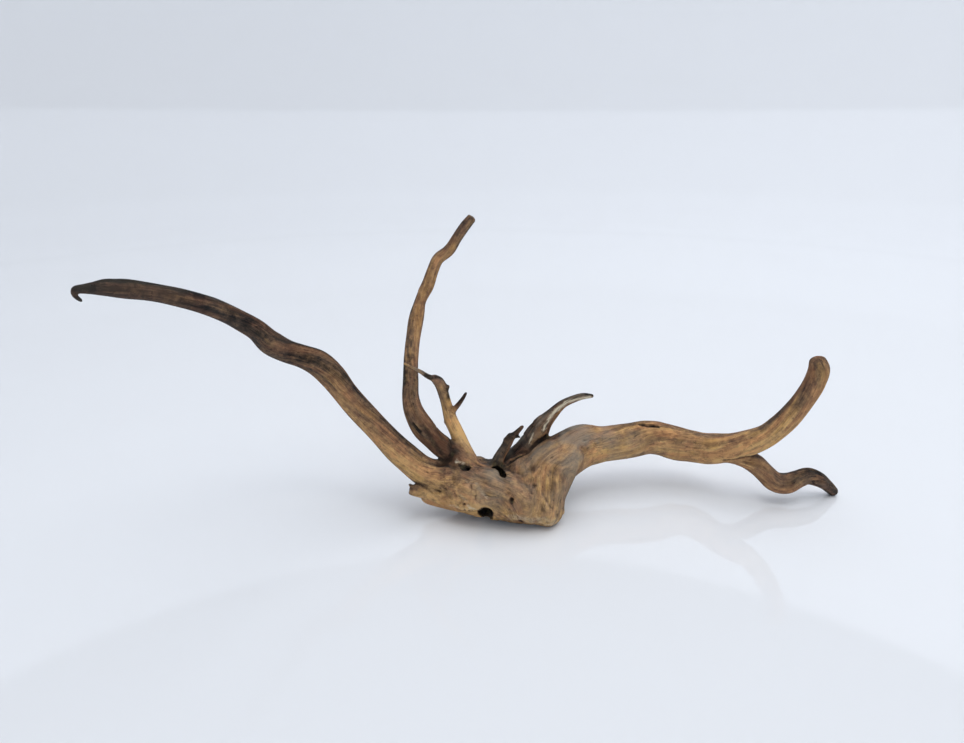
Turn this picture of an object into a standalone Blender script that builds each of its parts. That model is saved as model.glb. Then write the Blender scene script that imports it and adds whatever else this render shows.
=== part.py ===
"""Dry root: a washed and dried piece of tree root, grown as one piece.

A low base rests on a worn toe at its front and on a heel at its back. A long limb rises from it to the
left and ends in a small hook. A thick limb arches to the right and forks, and its lower fork touches
the ground. An upright shoot, two twigs and a broken branch stand on top.

Metres, +Z up. The origin is at the bottom centre of the root's box, on the ground, and +X is the long
way. Each limb is a round section carried along a smooth line through its own stations. Limbs and lumps
are grown together, softened where they are thick, thinned to few faces and carved by the hollows.
"""
import bmesh
import bpy
import numpy as np

MM = 0.001

# The stations are measured from the middle of the base, and this moves them to the middle of the box.
TO_BOX_CENTRE = (0.5, -2.0, 0.0)

# A limb is a list of stations: x, y, z of its middle and its thickness there, in millimetres.
LEFT_LIMB = [
    (-14, 4, 22, 34), (-40, 0, 25, 38), (-62, -4, 31, 33), (-81, -7, 40, 26), (-98, -4, 54, 24),
    (-124, 5, 78, 22), (-150, 13, 107, 22), (-160, 15, 122, 24), (-171, 15, 133, 23),
    (-185, 14, 140, 20), (-197, 12, 145, 20), (-207, 6, 154, 21), (-215, 0, 167, 18),
    (-225, -6, 177, 16), (-240, -25, 194, 15), (-253, -45, 206, 14), (-266, -60, 214, 13),
    (-279, -75, 220, 13), (-288, -86, 223, 10), (-296, -94, 224, 6),
]
LEFT_HOOK = [(-292, -90, 224, 6), (-299, -95, 224, 4), (-300, -94, 220, 4), (-297, -93, 216, 3)]
RIGHT_LIMB = [
    (14, -12, 12, 40), (20, -4, 22, 45), (28, 9, 35, 45), (44, 21, 43, 42), (63, 32, 47, 39),
    (78, 36, 46, 34), (107, 41, 47, 34), (124, 44, 49, 33), (138, 45, 47, 32), (153, 45, 42, 32),
    (167, 43, 40, 30), (178, 37, 41, 29), (188, 29, 45, 27), (199, 22, 51, 24), (210, 18, 57, 23),
    (222, 16, 64, 21), (232, 15, 74, 20), (241, 14, 86, 19), (250, 14, 102, 18), (255, 13, 117, 18),
    (256, 12, 130, 17), (254, 12, 136, 14),
]
LOWER_FORK = [
    (178, 33, 40, 16), (204, 21, 40, 16), (217, 18, 35, 18), (227, 16, 26, 18), (236, 13, 19, 19),
    (245, 12, 18, 19), (256, 14, 21, 16), (268, 18, 22, 15), (277, 18, 19, 14), (287, 20, 12, 11),
    (296, 22, 4, 9),
]
UPRIGHT = [
    (-40, 0, 34, 22), (-54, 4, 50, 20), (-64, 5, 57, 19), (-73, 6, 65, 18), (-83, 7, 77, 20),
    (-90, 10, 89, 18), (-94, 22, 98, 16), (-95, 36, 110, 14), (-95, 60, 134, 13), (-91, 80, 159, 13),
    (-89, 86, 168, 11), (-82, 90, 183, 12), (-77, 93, 197, 11), (-72, 95, 207, 11), (-62, 95, 215, 11),
    (-54, 93, 227, 10), (-46, 92, 238, 10), (-40, 92, 245, 9),
]
FRONT_TWIG = [
    (-40, 2, 33, 24), (-44, 6, 43, 20), (-48, 11, 54, 15), (-53, 16, 65, 13), (-59, 22, 77, 12),
    (-63, 26, 91, 10), (-66, 26, 103, 10), (-69, 24, 112, 10), (-73, 22, 117, 7),
]
TWIG_TAIL = [(-70, 23, 115, 6), (-77, 19, 119, 5), (-84, 14, 126, 4), (-91, 9, 132, 3), (-96, 6, 136, 3)]
TWIG_SPUR = [(-60, 24, 79, 7), (-56, 23, 86, 5.6), (-52, 21, 92, 4.6), (-48, 18, 99, 3.8), (-45, 16, 105, 3)]
TWIG_KNOB = [(-66, 26, 101, 6), (-62, 25, 105, 4), (-60.5, 25, 108, 3)]
TWIG_NUB = [(-58, 22, 76, 7), (-64, 21, 75, 3)]
BROKEN_BRANCH = [
    (-17, 16, 31, 15), (-9, 19, 36, 14), (0, 22, 42, 15), (11, 26, 50, 17), (19, 29, 60, 18),
    (26, 31, 71, 14), (33, 32, 79, 11), (41, 33, 87, 8), (51, 34, 92, 7), (61, 34, 95, 6),
    (68, 34, 95, 4),
]
REAR_TWIG = [
    (-22, 3, 32, 14), (-19, 5, 39, 12), (-15, 10, 47, 9.5), (-10, 14, 54, 8.5), (-6, 16, 61, 8),
    (-1, 18, 65, 5.5), (5, 18, 72, 3.5),
]
REAR_STUB = [(-6, 17, 64, 5), (3, 17, 62, 2.5)]
BROKEN_STUB = [
    (-60, -12, 18, 16), (-73, -14, 20, 14), (-81, -17, 26, 11), (-88, -19, 29, 10), (-92, -20, 30, 9),
]
FRONT_RIM = [
    (-76, -10, 21, 20), (-59, -10, 22, 31), (-41, -12, 24, 40), (-11, -18, 23, 42), (8, -22, 19, 38),
    (23, -20, 17, 35),
]
FOOT_FRONT = [(44, 12, 46, 34), (32, -4, 36, 38), (24, -14, 24, 38), (20, -18, 14, 36)]
HEEL = [(-24, 8, 22, 36), (-35, 25, 19, 34), (-43, 38, 13, 30), (-49, 50, 8, 23), (-52, 57, 5, 15)]

# Each limb with the number of sides of its section, and the length of its round ends in end radii.
LIMBS = [
    (LEFT_LIMB, 24, 1.0), (LEFT_HOOK, 8, 1.0), (RIGHT_LIMB, 24, 0.6), (LOWER_FORK, 20, 1.0),
    (UPRIGHT, 20, 0.3), (FRONT_TWIG, 16, 0.8), (TWIG_TAIL, 8, 1.0), (TWIG_SPUR, 8, 1.0),
    (TWIG_KNOB, 8, 1.0), (TWIG_NUB, 8, 1.0), (BROKEN_BRANCH, 16, 1.0), (REAR_TWIG, 12, 1.0),
    (REAR_STUB, 8, 1.0), (BROKEN_STUB, 12, 0.4), (FRONT_RIM, 24, 1.0), (FOOT_FRONT, 24, 0.8),
    (HEEL, 24, 0.8),
]

# Lumps fill the base between the limbs: middle x, y, z, then half sizes along x, y, z.
LUMPS = [
    (24, -20, 14, 16, 20, 17), (-20, 4, 24, 36, 26, 17), (8, 6, 26, 24, 26, 22),
    (11, -13, 30, 12, 12, 13.5),
]

# Hollows are cut along their own stations, as the limbs are made.
NOTCH = [(-29, -44, 17, 12), (-28, -32, 15, 13), (-28, -22, 12, 12)]
NOTCH_MOUTH = [(-25.5, -46, 10, 7), (-26, -34, 9, 8), (-27, -24, 8, 8)]
POCKET = [(-18, -3, 37, 12), (-16.5, -9, 39, 11), (-14.5, -14, 41.5, 8), (-13, -19, 43.5, 4)]
TWIG_HOLE = [(-50, -9.5, 47.5, 3), (-46.5, -9.5, 45.5, 4.6), (-43.5, -9.5, 44.5, 4.6), (-42, -4, 41, 4)]
HOLLOWS = [NOTCH, NOTCH_MOUTH, POCKET, TWIG_HOLE]
UNDERSIDE = (-26, 8, -2, 30, 18, 14)

STATION_GAP = 3.0
VOXEL = 1.2
THIN_GIRTH = 12.0
THICK_GIRTH = 34.0
SOFT_PASSES = 24
TRIANGLES = 10500


def clear_scene():
    for thing in list(bpy.data.objects):
        bpy.data.objects.remove(thing, do_unlink=True)


def smooth_line(stations):
    """A cubic curve through the stations, read every few millimetres: x, y, z and thickness."""
    knots = np.array(stations, float)
    knots[:, :3] += TO_BOX_CENTRE
    steps = np.linalg.norm(np.diff(knots[:, :3], axis=0), axis=1)
    along = np.concatenate([[0], np.cumsum(steps)])
    slopes = np.gradient(knots, along, axis=0)
    reads = np.linspace(0, along[-1], max(4, int(along[-1] / STATION_GAP)))
    left = np.clip(np.searchsorted(along, reads, "right") - 1, 0, len(knots) - 2)
    span = (along[left + 1] - along[left])[:, None]
    t = (reads - along[left])[:, None] / span
    return (
        (2 * t**3 - 3 * t**2 + 1) * knots[left] + (t**3 - 2 * t**2 + t) * span * slopes[left]
        + (3 * t**2 - 2 * t**3) * knots[left + 1] + (t**3 - t**2) * span * slopes[left + 1]
    )


def unit(rows):
    return rows / np.linalg.norm(rows, axis=-1, keepdims=True)


def round_end(centre, radius, way, length):
    """Middles and radii of three shrinking rings that round off a limb's end."""
    lift = np.radians([25, 50, 72])
    return centre + length * radius * np.sin(lift)[:, None] * way, radius * np.cos(lift)


def limb_mesh(stations, sides, end_length):
    """A round section carried along the limb's line, with a round end at each end."""
    line = smooth_line(stations)
    centres, radii = line[:, :3], line[:, 3] / 2
    forward = unit(np.gradient(centres, axis=0))
    first, first_radii = round_end(centres[0], radii[0], -forward[0], end_length)
    last, last_radii = round_end(centres[-1], radii[-1], forward[-1], end_length)
    centres = np.concatenate([first[::-1], centres, last])
    radii = np.concatenate([first_radii[::-1], radii, last_radii])
    forward = np.concatenate([forward[:1]] * 3 + [forward] + [forward[-1:]] * 3)
    side = unit(np.cross(forward, (0.0, 1.0, 0.0)))
    up = np.cross(side, forward)
    turn = np.linspace(0, 2 * np.pi, sides, endpoint=False)[None, :, None]
    round_about = np.cos(turn) * side[:, None] + np.sin(turn) * up[:, None]
    return tube(centres[:, None] + radii[:, None, None] * round_about)


def lump_mesh(x, y, z, half_x, half_y, half_z):
    """An ellipsoid, as rings from its lowest to its highest point."""
    lift = np.radians(np.linspace(-80, 80, 13))[:, None]
    turn = np.linspace(0, 2 * np.pi, 28, endpoint=False)
    ring_x = half_x * np.cos(lift) * np.cos(turn)
    ring_y = half_y * np.cos(lift) * np.sin(turn)
    ring_z = half_z * np.sin(lift) * np.ones_like(turn)
    return tube(np.stack([ring_x, ring_y, ring_z], -1) + (x, y, z) + np.array(TO_BOX_CENTRE))


def tube(rings):
    """Points and faces of a closed tube through rows of ring points."""
    count, sides = rings.shape[:2]
    row = np.arange(count - 1)[:, None] * sides
    here = np.arange(sides)
    after = (here + 1) % sides
    walls = np.stack([row + here, row + after, row + sides + after, row + sides + here], -1)
    start = here[::-1].tolist()
    finish = (here + (count - 1) * sides).tolist()
    return rings.reshape(-1, 3), walls.reshape(-1, 4).tolist() + [start, finish]


def mesh_object(name, shells):
    """An object that holds all the shells, in metres, with their faces pointing out."""
    whole = bmesh.new()
    for points, faces in shells:
        corners = [whole.verts.new(point * MM) for point in points]
        made = [whole.faces.new([corners[i] for i in face]) for face in faces]
        bmesh.ops.recalc_face_normals(whole, faces=made)
    mesh = bpy.data.meshes.new(name)
    whole.to_mesh(mesh)
    whole.free()
    thing = bpy.data.objects.new(name, mesh)
    bpy.context.scene.collection.objects.link(thing)
    return thing


def grow_together(root):
    """Join the overlapping shells into one skin of even small faces, and keep it as the mesh."""
    remesh = root.modifiers.new("grow together", "REMESH")
    remesh.mode = "VOXEL"
    remesh.voxel_size = VOXEL * MM
    bpy.context.view_layer.update()
    seen = root.evaluated_get(bpy.context.evaluated_depsgraph_get())
    skin = bpy.data.meshes.new_from_object(seen)
    root.modifiers.clear()
    root.data = skin


def girth_near(points):
    """Thickness in millimetres of the limb whose skin is nearest to each point."""
    lines = np.concatenate([smooth_line(stations) for stations, _, _ in LIMBS])
    girth = np.empty(len(points))
    for start in range(0, len(points), 8000):
        chunk = points[start:start + 8000, None]
        depth = np.linalg.norm(chunk - lines[:, :3], axis=2) - lines[:, 3] / 2
        girth[start:start + 8000] = lines[depth.argmin(axis=1), 3]
    return girth


def mark_thick_parts(root):
    """A vertex group whose weight grows from thin twigs to the thick base, in ten steps."""
    points = np.empty(len(root.data.vertices) * 3)
    root.data.vertices.foreach_get("co", points)
    girth = girth_near(points.reshape(-1, 3) / MM)
    weight = np.clip((girth - THIN_GIRTH) / (THICK_GIRTH - THIN_GIRTH), 0.1, 1)
    group = root.vertex_groups.new(name="thick")
    step = np.ceil(weight * 10).astype(int)
    for level in range(1, 11):
        group.add(np.flatnonzero(step == level).tolist(), level / 10, "REPLACE")
    return group


def soften_and_thin(root):
    """Round the creases where limbs meet, most where they are thick, then leave fewer faces."""
    soften = root.modifiers.new("soften the creases", "SMOOTH")
    soften.vertex_group = mark_thick_parts(root).name
    soften.factor = 0.5
    soften.iterations = SOFT_PASSES
    thin = root.modifiers.new("thin out", "DECIMATE")
    root.data.calc_loop_triangles()
    thin.ratio = TRIANGLES / len(root.data.loop_triangles)


def ground_mesh():
    """A block whose top is the ground, wide enough for the whole root."""
    corners = [(x, y, z) for z in (-90, 0) for y in (-200, 200) for x in (-400, 400)]
    faces = [[0, 2, 3, 1], [4, 5, 7, 6], [0, 1, 5, 4], [2, 6, 7, 3], [0, 4, 6, 2], [1, 3, 7, 5]]
    return np.array(corners, float), faces


def carve(root):
    """Cut the hollows, and the flat spots where the root has worn on the ground."""
    shells = {f"hollow_{number}": limb_mesh(hollow, 10, 1.0) for number, hollow in enumerate(HOLLOWS, 1)}
    shells["hollow_underside"] = lump_mesh(*UNDERSIDE)
    shells["ground_cut"] = ground_mesh()
    cutters = bpy.data.collections.new("cutters")
    bpy.context.scene.collection.children.link(cutters)
    for name, shell in shells.items():
        cutter = mesh_object(name, [shell])
        bpy.context.scene.collection.objects.unlink(cutter)
        cutters.objects.link(cutter)
        cutter.hide_render = True
        cutter.display_type = "WIRE"
    cut = root.modifiers.new("carve", "BOOLEAN")
    cut.operation = "DIFFERENCE"
    cut.operand_type = "COLLECTION"
    cut.collection = cutters


def wood_material():
    """Bare weathered wood: tan brown and dull."""
    wood = bpy.data.materials.new("dry_wood")
    wood.use_nodes = True
    shader = wood.node_tree.nodes["Principled BSDF"]
    shader.inputs["Base Color"].default_value = (0.26, 0.16, 0.09, 1)
    shader.inputs["Roughness"].default_value = 0.7
    shader.inputs["Metallic"].default_value = 0.0
    return wood


def build_root():
    shells = [limb_mesh(*limb) for limb in LIMBS] + [lump_mesh(*lump) for lump in LUMPS]
    root = mesh_object("dry_root", shells)
    grow_together(root)
    root.data.shade_smooth()
    root.data.materials.append(wood_material())
    soften_and_thin(root)
    carve(root)


clear_scene()
build_root()
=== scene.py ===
# %% [markdown]
# # A dry root
# The object is one piece of tree root, washed and dried until it is bare wood. A low base lies on the
# floor, a long limb climbs to the left, a thick one arches to the right and forks, and a shoot, two
# twigs and a broken branch stand on top. The frame holds it as a plain solid of few faces. Here the
# same stations make a much finer skin, with the furrows, cracks and colours of weathered wood.

import bpy
import numpy as np
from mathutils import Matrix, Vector


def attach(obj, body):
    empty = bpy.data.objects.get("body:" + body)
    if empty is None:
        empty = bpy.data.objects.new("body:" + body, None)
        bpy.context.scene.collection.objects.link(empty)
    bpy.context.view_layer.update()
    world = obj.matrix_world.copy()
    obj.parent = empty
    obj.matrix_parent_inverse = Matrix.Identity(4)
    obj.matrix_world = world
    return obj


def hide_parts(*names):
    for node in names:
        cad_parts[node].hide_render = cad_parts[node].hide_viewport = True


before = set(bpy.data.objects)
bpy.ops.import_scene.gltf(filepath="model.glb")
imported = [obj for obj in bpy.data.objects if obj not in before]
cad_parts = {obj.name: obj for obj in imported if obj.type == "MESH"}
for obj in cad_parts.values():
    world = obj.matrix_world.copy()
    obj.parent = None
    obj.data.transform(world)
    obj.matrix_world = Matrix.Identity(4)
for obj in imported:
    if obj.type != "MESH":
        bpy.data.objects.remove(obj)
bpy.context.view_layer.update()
MM = 0.001

# %% [markdown]
# ## Where the camera stands
# The photograph looks down on the root from a little over half a metre away. The lens and the height
# come from the root and its mirror image in the glossy floor. The camera is made first, so that every
# later step can be looked at through it.

# %% Camera
IMAGE_WIDTH_PX = 964
FOCAL_LENGTH_PX = 680
SENSOR_WIDTH = 36.0
LOOK_DOWN = 20.5
EYE = (-30.5 * MM, -534 * MM, 330 * MM)


def make_camera():
    data = bpy.data.cameras.new("camera")
    data.sensor_width = SENSOR_WIDTH
    data.lens = SENSOR_WIDTH * FOCAL_LENGTH_PX / IMAGE_WIDTH_PX
    data.clip_start = 0.01
    camera = bpy.data.objects.new("camera", data)
    bpy.context.scene.collection.objects.link(camera)
    camera.location = EYE
    camera.rotation_euler = (np.radians(90 - LOOK_DOWN), 0, 0)
    bpy.context.scene.camera = camera
    return camera


camera = make_camera()
print("lens, mm:", round(camera.data.lens, 2))

# %% [markdown]
# ## The stations of each limb
# A limb could be sculpted by hand, but a list of stations says the same in a few lines: the middle of
# the limb, its thickness there, and how far along it we are. Every station is x, y, z and thickness in
# millimetres, from the middle of the base, and the whole is then moved to the middle of its box.

# %% Stations
TO_BOX_CENTRE = np.array([0.5, -2.0, 0.0])

LEFT_LIMB = [
    (-14, 4, 22, 34), (-40, 0, 25, 38), (-62, -4, 31, 33), (-81, -7, 40, 26), (-98, -4, 54, 24),
    (-124, 5, 78, 22), (-150, 13, 107, 22), (-160, 15, 122, 24), (-171, 15, 133, 23),
    (-185, 14, 140, 20), (-197, 12, 145, 20), (-207, 6, 154, 21), (-215, 0, 167, 18),
    (-225, -6, 177, 16), (-240, -25, 194, 15), (-253, -45, 206, 14), (-266, -60, 214, 13),
    (-279, -75, 220, 13), (-288, -86, 223, 10), (-296, -94, 224, 6),
]
LEFT_HOOK = [(-292, -90, 224, 6), (-299, -95, 224, 4), (-300, -94, 220, 4), (-297, -93, 216, 3)]
RIGHT_LIMB = [
    (14, -12, 12, 40), (20, -4, 22, 45), (28, 9, 35, 45), (44, 21, 43, 42), (63, 32, 47, 39),
    (78, 36, 46, 34), (107, 41, 47, 34), (124, 44, 49, 33), (138, 45, 47, 32), (153, 45, 42, 32),
    (167, 43, 40, 30), (178, 37, 41, 29), (188, 29, 45, 27), (199, 22, 51, 24), (210, 18, 57, 23),
    (222, 16, 64, 21), (232, 15, 74, 20), (241, 14, 86, 19), (250, 14, 102, 18), (255, 13, 117, 18),
    (256, 12, 130, 17), (254, 12, 136, 14),
]
LOWER_FORK = [
    (178, 33, 40, 16), (204, 21, 40, 16), (217, 18, 35, 18), (227, 16, 26, 18), (236, 13, 19, 19),
    (245, 12, 18, 19), (256, 14, 21, 16), (268, 18, 22, 15), (277, 18, 19, 14), (287, 20, 12, 11),
    (296, 22, 4, 9),
]
UPRIGHT = [
    (-40, 0, 34, 22), (-54, 4, 50, 20), (-64, 5, 57, 19), (-73, 6, 65, 18), (-83, 7, 77, 20),
    (-90, 10, 89, 18), (-94, 22, 98, 16), (-95, 36, 110, 14), (-95, 60, 134, 13), (-91, 80, 159, 13),
    (-89, 86, 168, 11), (-82, 90, 183, 12), (-77, 93, 197, 11), (-72, 95, 207, 11), (-62, 95, 215, 11),
    (-54, 93, 227, 10), (-46, 92, 238, 10), (-40, 92, 245, 9),
]
FRONT_TWIG = [
    (-40, 2, 33, 24), (-44, 6, 43, 20), (-48, 11, 54, 15), (-53, 16, 65, 13), (-59, 22, 77, 12),
    (-63, 26, 91, 10), (-66, 26, 103, 10), (-69, 24, 112, 10), (-73, 22, 117, 7),
]
TWIG_TAIL = [(-70, 23, 115, 6), (-77, 19, 119, 5), (-84, 14, 126, 4), (-91, 9, 132, 3), (-96, 6, 136, 3)]
TWIG_SPUR = [(-60, 24, 79, 7), (-56, 23, 86, 5.6), (-52, 21, 92, 4.6), (-48, 18, 99, 3.8), (-45, 16, 105, 3)]
TWIG_KNOB = [(-66, 26, 101, 6), (-62, 25, 105, 4), (-60.5, 25, 108, 3)]
TWIG_NUB = [(-58, 22, 76, 7), (-64, 21, 75, 3)]
BROKEN_BRANCH = [
    (-17, 16, 31, 15), (-9, 19, 36, 14), (0, 22, 42, 15), (11, 26, 50, 17), (19, 29, 60, 18),
    (26, 31, 71, 14), (33, 32, 79, 11), (41, 33, 87, 8), (51, 34, 92, 7), (61, 34, 95, 6),
    (68, 34, 95, 4),
]
REAR_TWIG = [
    (-22, 3, 32, 14), (-19, 5, 39, 12), (-15, 10, 47, 9.5), (-10, 14, 54, 8.5), (-6, 16, 61, 8),
    (-1, 18, 65, 5.5), (5, 18, 72, 3.5),
]
REAR_STUB = [(-6, 17, 64, 5), (3, 17, 62, 2.5)]
BROKEN_STUB = [
    (-60, -12, 18, 16), (-73, -14, 20, 14), (-81, -17, 26, 11), (-88, -19, 29, 10), (-92, -20, 30, 9),
]
FRONT_RIM = [
    (-76, -10, 21, 20), (-59, -10, 22, 31), (-41, -12, 24, 40), (-11, -18, 23, 42), (8, -22, 19, 38),
    (23, -20, 17, 35),
]
FOOT_FRONT = [(44, 12, 46, 34), (32, -4, 36, 38), (24, -14, 24, 38), (20, -18, 14, 36)]
HEEL = [(-24, 8, 22, 36), (-35, 25, 19, 34), (-43, 38, 13, 30), (-49, 50, 8, 23), (-52, 57, 5, 15)]

STUB_PRONG_UP = [(-86, -19, 30, 8), (-91, -20, 33, 5), (-93, -20, 35, 3)]
STUB_PRONG_LOW = [(-84, -19, 26, 8), (-90, -20, 26, 4), (-94, -20, 26.5, 2)]
HEART_GRAIN = [
    (-56, 4, 44, 18), (-42, -6, 38, 26), (-24, -18, 33, 24), (-10, -27, 27, 23), (-4, -31, 15, 20),
    (-2, -32, 6, 18),
]

# %% [markdown]
# ## How each limb looks along its length
# The wood is golden where the water scrubbed it, grey where it weathered and nearly black where it
# rotted. Short lists of stops, spread evenly from a limb's root to its tip, say that in few numbers.
# Grip tells how far a limb's own grain and colour reach into the base, where several limbs meet.

# %% Limb looks


def limb(stations, sides, end, tone, grey=(0.2,), warm=(0.2,), rough=(1.0,), top=(0.15,), grip=(0.0,)):
    """Stations, sides of the section and length of the round ends, then stops along the limb: tone from
    black 0 to gold 1, grey, warm, depth of the relief, darkening of the upper side, and grip in mm."""
    looks = dict(tone=tone, grey=grey, warm=warm, rough=rough, top=top, grip=grip)
    return dict(stations=stations, sides=sides, end=end, looks=looks)


LIMBS = {
    "left_limb": limb(
        LEFT_LIMB, 72, 1.0, (0.62, 0.80, 0.92, 0.82, 0.66, 0.52, 0.38, 0.27, 0.20, 0.14, 0.06, -0.1),
        grey=(0.1, 0.05, 0.05, 0.1, 0.1), warm=(0.2, 0.3, 0.2, 0.1), rough=(0.7, 0.6, 0.9),
        top=(0.05, 0.32, 0.26, 0.1, 0.02)),
    "left_hook": limb(LEFT_HOOK, 14, 1.0, (-0.3,)),
    "right_limb": limb(
        RIGHT_LIMB, 96, 0.6, (0.62, 0.68, 0.82, 0.82, 0.82, 0.93, 0.90, 0.64, 0.50),
        grey=(0.3, 1.0, 0.15, 0.1, 0.08, 0.05), warm=(0.2, 0.2, 0.3, 0.4, 0.4, 0.4, 0.6),
        rough=(0.6, 0.4, 0.7, 0.6, 0.6), top=(0.05, 0.2, 0.2, 0.12), grip=(4, 0, 0, 0, 0)),
    "lower_fork": limb(
        LOWER_FORK, 56, 1.0, (0.56, 0.56, 0.52, 0.48, 0.34, 0.16), grey=(0.1, 0.2), warm=(0.4,),
        rough=(1.0, 1.5)),
    "upright": limb(
        UPRIGHT, 56, 0.3, (0.16, 0.26, 0.44, 0.54, 0.60, 0.60, 0.52, 0.38), grey=(0.1, 0.1, 0.1),
        warm=(0.4, 0.3), rough=(1.4, 1.6, 1.2)),
    "front_twig": limb(
        FRONT_TWIG, 44, 0.8, (1.05, 1.15, 1.1, 0.94, 0.6), grey=(0.3, 0.15), grip=(3, 0)),
    "twig_tail": limb(TWIG_TAIL, 16, 1.0, (0.1, 0.5, 0.80), grey=(0.5,)),
    "twig_spur": limb(TWIG_SPUR, 16, 1.0, (0.50, 0.2, 0.15), grey=(0.4,)),
    "twig_knob": limb(TWIG_KNOB, 16, 1.0, (0.2, 0.0)),
    "twig_nub": limb(TWIG_NUB, 16, 1.0, (0.6, 0.4)),
    "broken_branch": limb(
        BROKEN_BRANCH, 48, 1.0, (0.24, 0.34, 0.36, 0.36, 0.2, 0.12), grey=(0.2, 0.7, 0.3),
        warm=(0.1, 0.15, 0.45, 0.2), rough=(1.8, 2.4, 1.4), grip=(3, 1, 0)),
    "rear_twig": limb(
        REAR_TWIG, 28, 1.0, (0.38, 0.34, 0.26, 0.06), grey=(0.2,), warm=(0.5, 0.6, 0.2), rough=(2.4,),
        grip=(2, 0)),
    "rear_stub": limb(REAR_STUB, 16, 1.0, (0.1, 0.02)),
    "broken_stub": limb(BROKEN_STUB, 36, 0.4, (0.84, 0.95, 0.8), warm=(0.8,), rough=(1.5,)),
    "stub_prong_up": limb(STUB_PRONG_UP, 16, 1.0, (0.6, 0.2, 0.0), warm=(0.6,), rough=(1.5,)),
    "stub_prong_low": limb(STUB_PRONG_LOW, 16, 1.0, (0.7, 0.5, 0.1), warm=(0.6,), rough=(1.5,)),
    "front_rim": limb(
        FRONT_RIM, 72, 1.0, (0.70, 0.81, 0.86, 0.84, 0.84), grey=(0.05, 0.05, 0.4), warm=(0.5, 0.5, 0.3),
        rough=(1.2, 1.4, 0.6), grip=(-6, -6, -6, -8, -14, -30)),
    "heart_grain": limb(
        HEART_GRAIN, 0, 0, (0.56, 0.62, 0.66, 0.70, 0.66), grey=(0.1, 0.3, 0.8, 0.4, 0.2),
        rough=(0.8, 1.0), grip=(-4, 2, 2, 0, -4)),
    "foot_front": limb(
        FOOT_FRONT, 72, 0.8, (0.64, 0.72, 0.80), grey=(0.2, 0.1, 0.4), warm=(0.3, 0.5, 0.3), rough=(0.5,),
        grip=(-30,)),
    "heel": limb(HEEL, 60, 0.8, (0.55, 0.5, 0.45), grey=(0.5, 0.4), rough=(1.3,), grip=(-6, 0)),
}
LUMPS = [
    (24, -20, 14, 16, 20, 17), (-20, 4, 24, 36, 26, 17), (8, 6, 26, 24, 26, 22),
    (11, -13, 30, 12, 12, 13.5),
]

NOTCH = [(-29, -44, 17, 12), (-28, -32, 15, 13), (-28, -22, 12, 12)]
NOTCH_MOUTH = [(-25.5, -46, 10, 7), (-26, -34, 9, 8), (-27, -24, 8, 8)]
POCKET = [(-18, -3, 37, 12), (-16.5, -9, 39, 11), (-14.5, -14, 41.5, 8), (-13, -19, 43.5, 4)]
TWIG_HOLE = [(-50, -9.5, 47.5, 3), (-46.5, -9.5, 45.5, 4.6), (-43.5, -9.5, 44.5, 4.6), (-42, -4, 41, 4)]
HOLLOWS = [NOTCH, NOTCH_MOUTH, POCKET, TWIG_HOLE]
UNDERSIDE = (-26, 8, -2, 30, 18, 14)
print(len(LIMBS), "limbs,", len(HOLLOWS) + 1, "hollows")

# %% [markdown]
# ## Random values that vary smoothly
# Wood needs chance that repeats exactly. At the corners of unit cubes stand random directions, each
# corner gives a slope, and the slopes are blended across the cube. This is the well-known gradient
# noise, written for whole arrays at once, so that a quarter of a million points take a moment.

# %% Gradient noise
LATTICE = 32
NOISE_GAIN = 1.6


def noise(points, seed):
    """About -1 to 1: eight corner slopes, weighted by 6t^5 - 15t^4 + 10t^3 along each axis."""
    slopes = np.random.default_rng(seed).normal(size=(LATTICE, LATTICE, LATTICE, 3))
    slopes /= np.linalg.norm(slopes, axis=-1, keepdims=True)
    cell = np.floor(points).astype(int)
    inside = points - cell
    fade = inside**3 * (inside * (inside * 6 - 15) + 10)
    total = np.zeros(points.shape[:-1])
    for corner in np.ndindex(2, 2, 2):
        at = (cell + corner) % LATTICE
        slope = slopes[at[..., 0], at[..., 1], at[..., 2]]
        weight = np.prod(np.where(corner, fade, 1 - fade), axis=-1)
        total += weight * ((inside - corner) * slope).sum(-1)
    return total * NOISE_GAIN


def smoothstep(low, high, value):
    """0 below low, 1 above high, and 3t^2 - 2t^3 between."""
    t = np.clip((value - low) / (high - low), 0, 1)
    return t * t * (3 - 2 * t)


samples = np.array([[0.3, 0.1, 0.7], [1.5, 2.5, 3.5], [9.1, 0.2, 4.4]])
print("noise at three points:", noise(samples, 1).round(2))

# %% [markdown]
# ## Skin of one limb
# A real limb is never round: it swells at old side roots and carries long flutes that turn slowly
# round it. A section carried along a smooth line gives that as a function of two parameters, the way
# along and the way around.

# %% Limb surface
RING_GAP = 1.5
CAP_ANGLES = (20, 40, 58, 74)
SWELL_SHARE, FLUTE_SHARE = 0.07, 0.06


def unit(rows):
    return rows / np.linalg.norm(rows, axis=-1, keepdims=True)


def smooth_line(stations, gap):
    """Cubic Hermite curve through the stations, with each slope taken from the two neighbours."""
    knots = np.array(stations, float)
    knots[:, :3] += TO_BOX_CENTRE
    steps = np.linalg.norm(np.diff(knots[:, :3], axis=0), axis=1)
    along = np.concatenate([[0], np.cumsum(steps)])
    slopes = np.gradient(knots, along, axis=0)
    reads = np.linspace(0, along[-1], max(4, int(along[-1] / gap)))
    left = np.clip(np.searchsorted(along, reads, "right") - 1, 0, len(knots) - 2)
    span = (along[left + 1] - along[left])[:, None]
    t = (reads - along[left])[:, None] / span
    return (
        (2 * t**3 - 3 * t**2 + 1) * knots[left] + (t**3 - 2 * t**2 + t) * span * slopes[left]
        + (3 * t**2 - 2 * t**3) * knots[left + 1] + (t**3 - t**2) * span * slopes[left + 1]
    )


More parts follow.
